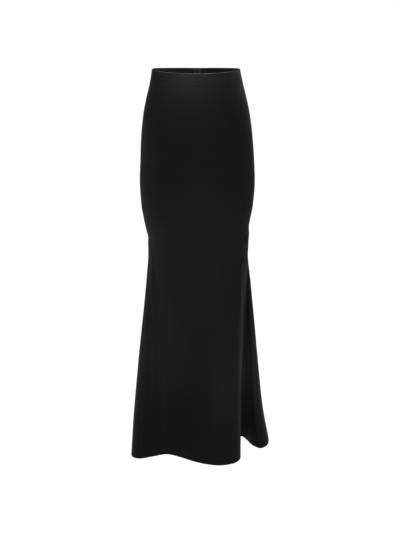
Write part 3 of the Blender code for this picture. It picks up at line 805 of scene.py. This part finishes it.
# ---- Slider and pull ---------------------------------------------------------------------
# Cast zinc with black enamel. The slider's body runs on the tapes' inner face, and a thin
# neck carries the bridge outside, where the flat pull hangs by its bar. A stop ends the coil.
SLIDER_BODY = ((-0.0036, 0.0026), (-0.0033, 0.0040), (-0.0020, 0.0045), (-0.0008, 0.0038),
               (0.0008, 0.0038), (0.0020, 0.0045), (0.0033, 0.0040), (0.0036, 0.0026),
               (0.0029, -0.0034), (0.0022, -0.0045), (-0.0022, -0.0045), (-0.0029, -0.0034))
SLIDER_BODY_WALL = 0.0016
SLIDER_NECK = (0.0008, 0.0030)  # width and height
BRIDGE_WIDTH = 0.0028
BRIDGE_OUTSIDE = (0.0024, 0.0026)       # half the height, and reach out from its feet
BRIDGE_INSIDE = (0.0010, 0.0022)
BRIDGE_STEPS = 10
BRIDGE_POWER = 0.6              # 1 is round, less is squarer
METAL_EDGE = 0.00025            # rounding of the castings' edges
SHARP_EDGE = 1.2                # radians; edges that turn by more are rounded
SLOPE_STEP = 0.002              # up and down from the slider, to read how the cloth stands
STOP_SIZE = (0.0056, 0.0014, 0.0034)    # width, thickness and height
STOP_EDGE = 0.0004

enamel, _, _ = new_finish("black enamelled metal", {
    "Base Color": (0.006, 0.006, 0.0065, 1), "Roughness": 0.42, "Specular IOR Level": 0.15})


def slab(form, outline, start, end, turn):
    """A flat shape drawn on X and Z, thick from start to end along Y, with rounded edges."""
    shape = bmesh.new()
    face = shape.faces.new([shape.verts.new((x, start, z)) for x, z in outline])
    back = bmesh.ops.extrude_face_region(shape, geom=[face])["geom"]
    moved = [item for item in back if isinstance(item, bmesh.types.BMVert)]
    bmesh.ops.translate(shape, vec=(0, end - start, 0), verts=moved)
    bmesh.ops.recalc_face_normals(shape, faces=shape.faces)
    rims = [edge for edge in shape.edges if edge.calc_face_angle(0) > SHARP_EDGE]
    bmesh.ops.bevel(shape, geom=rims, offset=METAL_EDGE, segments=2, affect="EDGES",
                    clamp_overlap=True)
    bmesh.ops.transform(shape, matrix=turn, verts=shape.verts)
    piece = bpy.data.meshes.new("slab")
    shape.to_mesh(piece)
    shape.free()
    form.from_mesh(piece)
    bpy.data.meshes.remove(piece)


def cast_piece(name, form):
    data = bpy.data.meshes.new(name)
    form.to_mesh(data)
    form.free()
    data.materials.append(enamel)
    piece = placed(name, data)
    return piece


middle = knots_between("centre back", "centre fold right")[0][:1]
above, seat, below = (Vector(skin.points(middle, np.array([SLIDER_DEPTH + step]))[0, 0])
                      for step in (-SLOPE_STEP, 0, SLOPE_STEP))
rise = above - below
stood = Matrix.Translation(seat) @ Matrix.Rotation(math.atan2(-rise.y, rise.z), 4, "X")
turns = np.radians(np.linspace(0, 180, BRIDGE_STEPS + 1))
arch = []
for (half, reach), way in ((BRIDGE_OUTSIDE, 1), (BRIDGE_INSIDE, -1)):
    for turn in turns[::way]:
        up = math.cos(turn)
        arch.append((SEAM_GAP + reach * math.sin(turn) ** BRIDGE_POWER,
                     half * math.copysign(abs(up) ** BRIDGE_POWER, up)))
body_face = -(BAND_WALL + SEAM_GAP + TAPE_WALL + SEAM_GAP)
half_neck, half_height = (size / 2 for size in SLIDER_NECK)
neck = [(-half_neck, -half_height), (half_neck, -half_height), (half_neck, half_height),
        (-half_neck, half_height)]
form = bmesh.new()
slab(form, SLIDER_BODY, body_face, body_face - SLIDER_BODY_WALL, stood)
slab(form, neck, body_face - METAL_EDGE, SEAM_GAP + METAL_EDGE * 2, stood)
slab(form, arch, -BRIDGE_WIDTH / 2, BRIDGE_WIDTH / 2,
     stood @ Matrix.Rotation(math.radians(90), 4, "Z") @ Matrix.Diagonal((1, -1, 1, 1)))
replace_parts(cast_piece("zip_slider_cast", form), "zip_slider")
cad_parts["zip_pull"].material_slots[0].material = enamel

points, inwards = zip_line(STOP_DEPTH, STOP_DEPTH + STOP_SIZE[2], 0)
form = bmesh.new()
bmesh.ops.create_cube(form, size=1.0)
bmesh.ops.scale(form, vec=STOP_SIZE, verts=form.verts)
bmesh.ops.bevel(form, geom=form.edges[:], offset=STOP_EDGE, segments=2, affect="EDGES")
bmesh.ops.translate(form, vec=points.mean(0) + inwards[0] * STOP_SIZE[1] / 2, verts=form.verts)
cast_piece("zip_stop", form)

# ---- Floor and light ---------------------------------------------------------------------
# The skirt is held up by an unseen stand, well above a pale floor that runs back as the
# backdrop. A high lamp behind whitens the floor, a low soft one lights the front, and small
# ones graze the waist, the hip, the knees and the sides of the flare.
FLOOR = -1.60
FLOOR_REACH = 90.0
FLOOR_PALE = 0.9
WORLD_STRENGTH = 0.10
SPOT_RADIUS = 0.1

floor_mesh = bpy.data.meshes.new("floor")
floor_corners = [(x * FLOOR_REACH, y * FLOOR_REACH, FLOOR)
                 for x, y in ((-1, -1), (1, -1), (1, 1), (-1, 1))]
floor_mesh.from_pydata(floor_corners, [], [(0, 1, 2, 3)])
floor = bpy.data.objects.new("floor", floor_mesh)
bpy.context.scene.collection.objects.link(floor)
pale, _, _ = new_finish("pale floor", {
    "Base Color": (*[FLOOR_PALE] * 3, 1), "Roughness": 0.9, "Specular IOR Level": 0.0})
floor_mesh.materials.append(pale)

world = bpy.data.worlds.new("studio")
world.use_nodes = True
sky = world.node_tree.nodes["Background"]
sky.inputs["Color"].default_value = (1, 1, 1, 1)
sky.inputs["Strength"].default_value = WORLD_STRENGTH
bpy.context.scene.world = world
bpy.context.scene.view_settings.view_transform = "Standard"

Lamp = namedtuple("Lamp", "name kind place aim size spread power")
LAMPS = [Lamp(*row) for row in (
    # name, kind, place, what it points at, size (metres, or degrees), an area's spread, power
    ("backdrop", "SUN", (0.0, 3.21, 3.83), (0, 0, 0), 40, 180, 4.24),
    ("key", "SUN", (0.35, -4.98, 0.35), (0, 0, 0), 12, 180, 2.17),
    ("waist", "AREA", (-0.04, -0.115, 0.235), (-0.03, -0.09, -0.02), 0.06, 180, 1.2),
    ("waist front", "AREA", (-0.04, -0.13, 0.12), (-0.04, -0.09, -0.02), 0.06, 180, 0.5),
    ("waist edge", "AREA", (-0.01, -0.02, 0.2), (-0.01, -0.085, 0.0), 0.16, 50, 0.8),
    ("right hip", "AREA", (0.20, 0.01, 0.245), (0.14, 0.0, -0.05), 0.06, 180, 2.1),
    ("right hip edge", "AREA", (0.20, 0.06, 0.15), (0.13, 0.0, -0.05), 0.04, 180, 0.5),
    ("knee pool", "SPOT", (0.10, -3.0, 1.0), (0.02, -0.1, -0.555), 8, 180, 182.0),
    ("left knee", "AREA", (-0.75, 0.10, -1.10), (-0.14, 0.0, -0.45), 0.30, 180, 2.2),
    ("left side", "AREA", (-1.60, 0.40, -1.00), (-0.10, 0.0, -0.70), 0.70, 180, 4.8),
    ("left flare", "SPOT", (-2.0, -1.6, -1.0), (-0.19, 0.0, -0.85), 10, 180, 230.0),
    ("right fold", "SPOT", (0.5, -2.9, -0.95), (0.18, 0.0, -0.88), 6.5, 180, 420.0),
)]
for lamp in LAMPS:
    light = bpy.data.lights.new(lamp.name, lamp.kind)
    light.energy = lamp.power
    if lamp.kind == "SUN":
        light.angle = math.radians(lamp.size)
    elif lamp.kind == "AREA":
        light.size = lamp.size
        light.spread = math.radians(lamp.spread)
    else:
        light.spot_size = math.radians(lamp.size)
        light.spot_blend = 1.0
        light.shadow_soft_size = SPOT_RADIUS
    holder = bpy.data.objects.new(lamp.name, light)
    holder.location = lamp.place
    back = Vector(lamp.place) - Vector(lamp.aim)
    holder.rotation_euler = back.to_track_quat("Z", "Y").to_euler()
    bpy.context.scene.collection.objects.link(holder)
